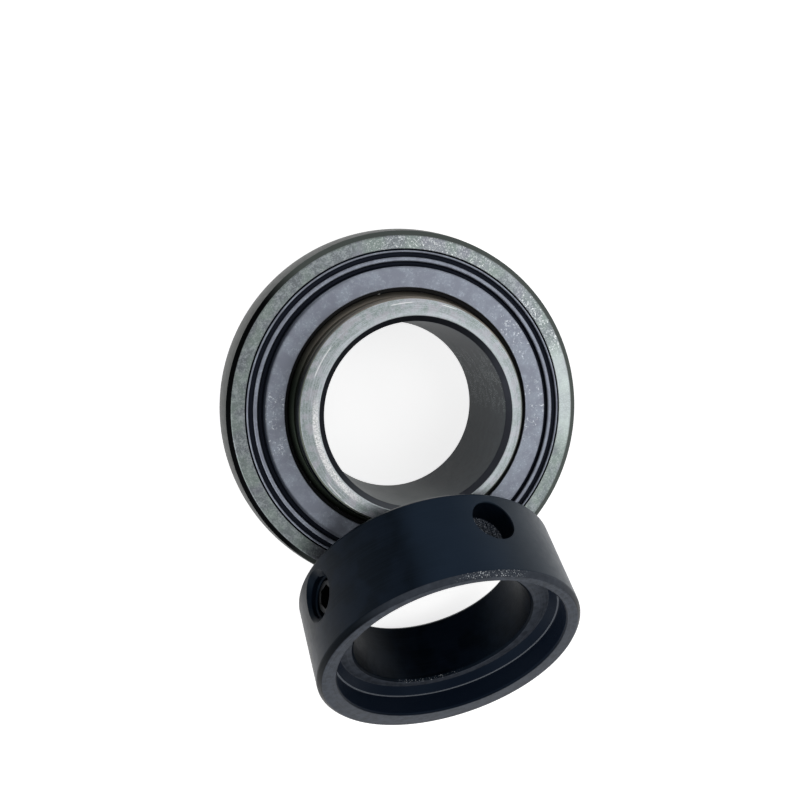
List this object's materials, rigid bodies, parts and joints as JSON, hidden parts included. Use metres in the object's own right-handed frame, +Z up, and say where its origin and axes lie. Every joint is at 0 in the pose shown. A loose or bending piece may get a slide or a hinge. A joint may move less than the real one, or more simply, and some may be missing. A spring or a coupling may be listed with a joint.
{
  "type": "insert ball bearing",
  "caption": "Sealed insert ball bearing with a spherical outside and a long inner ring ending in a cam, with its blackened eccentric locking collar leaning on it.",
  "frame": {"origin": "middle of the footprint of the bearing and its collar, on the ground", "axes": "+Z up along the bearing's axis, -Y from the bearing towards the collar that leans on it"},
  "size_m": [0.072, 0.1012, 0.0471],
  "materials": {
    "ring_steel": "hardened and ground bearing steel, bright on the faces and blued grey on the sphere",
    "shield_steel": "pressed steel sheet, satin blue grey",
    "seal_rubber": "black nitrile rubber, matt",
    "ball_steel": "polished chrome steel",
    "cage_steel": "pressed steel sheet, plain",
    "collar_steel": "blackened steel, half gloss, scuffed to grey on the front edges",
    "screw_steel": "black oxide steel"
  },
  "bodies": {
    "bearing_and_collar": {"outer_ring": "ring_steel", "upper_shield": "shield_steel", "lower_shield": "shield_steel", "upper_seal_lip": "seal_rubber", "lower_seal_lip": "seal_rubber", "locking_collar": "collar_steel"},
    "inner_ring": {"inner_ring": "ring_steel"},
    "cage": {"cage_upper": "cage_steel", "cage_lower": "cage_steel", "cage_rivet_1": "cage_steel", "cage_rivet_2": "cage_steel", "cage_rivet_3": "cage_steel", "cage_rivet_4": "cage_steel", "cage_rivet_5": "cage_steel", "cage_rivet_6": "cage_steel", "cage_rivet_7": "cage_steel", "cage_rivet_8": "cage_steel", "cage_rivet_9": "cage_steel"},
    "set_screw": {"set_screw": "screw_steel"},
    "ball_1": {"ball_1": "ball_steel"},
    "ball_2": {"ball_2": "ball_steel"},
    "ball_3": {"ball_3": "ball_steel"},
    "ball_4": {"ball_4": "ball_steel"},
    "ball_5": {"ball_5": "ball_steel"},
    "ball_6": {"ball_6": "ball_steel"},
    "ball_7": {"ball_7": "ball_steel"},
    "ball_8": {"ball_8": "ball_steel"},
    "ball_9": {"ball_9": "ball_steel"}
  },
  "joints": [
    {"name": "inner_ring_spin", "type": "hinge", "parent": "bearing_and_collar", "child": "inner_ring", "pos_m": [0, 0.0146, 0.0095], "axis": [0, 0, 1], "continuous": true},
    {"name": "cage_spin", "type": "hinge", "parent": "bearing_and_collar", "child": "cage", "pos_m": [0, 0.0146, 0.0095], "axis": [0, 0, 1], "continuous": true},
    {"name": "ball_1_spin", "type": "hinge", "parent": "cage", "child": "ball_1", "pos_m": [0.02675, 0.0146, 0.0095], "axis": [0, 0, 1], "continuous": true},
    {"name": "ball_2_spin", "type": "hinge", "parent": "cage", "child": "ball_2", "pos_m": [0.02049, 0.0318, 0.0095], "axis": [0, 0, 1], "continuous": true},
    {"name": "ball_3_spin", "type": "hinge", "parent": "cage", "child": "ball_3", "pos_m": [0.00464, 0.04095, 0.0095], "axis": [0, 0, 1], "continuous": true},
    {"name": "ball_4_spin", "type": "hinge", "parent": "cage", "child": "ball_4", "pos_m": [-0.01337, 0.03777, 0.0095], "axis": [0, 0, 1], "continuous": true},
    {"name": "ball_5_spin", "type": "hinge", "parent": "cage", "child": "ball_5", "pos_m": [-0.02514, 0.02375, 0.0095], "axis": [0, 0, 1], "continuous": true},
    {"name": "ball_6_spin", "type": "hinge", "parent": "cage", "child": "ball_6", "pos_m": [-0.02514, 0.00545, 0.0095], "axis": [0, 0, 1], "continuous": true},
    {"name": "ball_7_spin", "type": "hinge", "parent": "cage", "child": "ball_7", "pos_m": [-0.01337, -0.00856, 0.0095], "axis": [0, 0, 1], "continuous": true},
    {"name": "ball_8_spin", "type": "hinge", "parent": "cage", "child": "ball_8", "pos_m": [0.00464, -0.01174, 0.0095], "axis": [0, 0, 1], "continuous": true},
    {"name": "ball_9_spin", "type": "hinge", "parent": "cage", "child": "ball_9", "pos_m": [0.02049, -0.00259, 0.0095], "axis": [0, 0, 1], "continuous": true},
    {"name": "set_screw_feed", "type": "slide", "parent": "bearing_and_collar", "child": "set_screw", "axis": [-0.8949, 0.3373, 0.2921], "range_m": [-0.001, 0.003]}
  ],
  "couplings": [
    {"joint": "cage_spin", "follows": "inner_ring_spin", "ratio": 0.39615},
    {"joint": "ball_1_spin", "follows": "inner_ring_spin", "ratio": -2.3035},
    {"joint": "ball_2_spin", "follows": "inner_ring_spin", "ratio": -2.3035},
    {"joint": "ball_3_spin", "follows": "inner_ring_spin", "ratio": -2.3035},
    {"joint": "ball_4_spin", "follows": "inner_ring_spin", "ratio": -2.3035},
    {"joint": "ball_5_spin", "follows": "inner_ring_spin", "ratio": -2.3035},
    {"joint": "ball_6_spin", "follows": "inner_ring_spin", "ratio": -2.3035},
    {"joint": "ball_7_spin", "follows": "inner_ring_spin", "ratio": -2.3035},
    {"joint": "ball_8_spin", "follows": "inner_ring_spin", "ratio": -2.3035},
    {"joint": "ball_9_spin", "follows": "inner_ring_spin", "ratio": -2.3035}
  ]
}
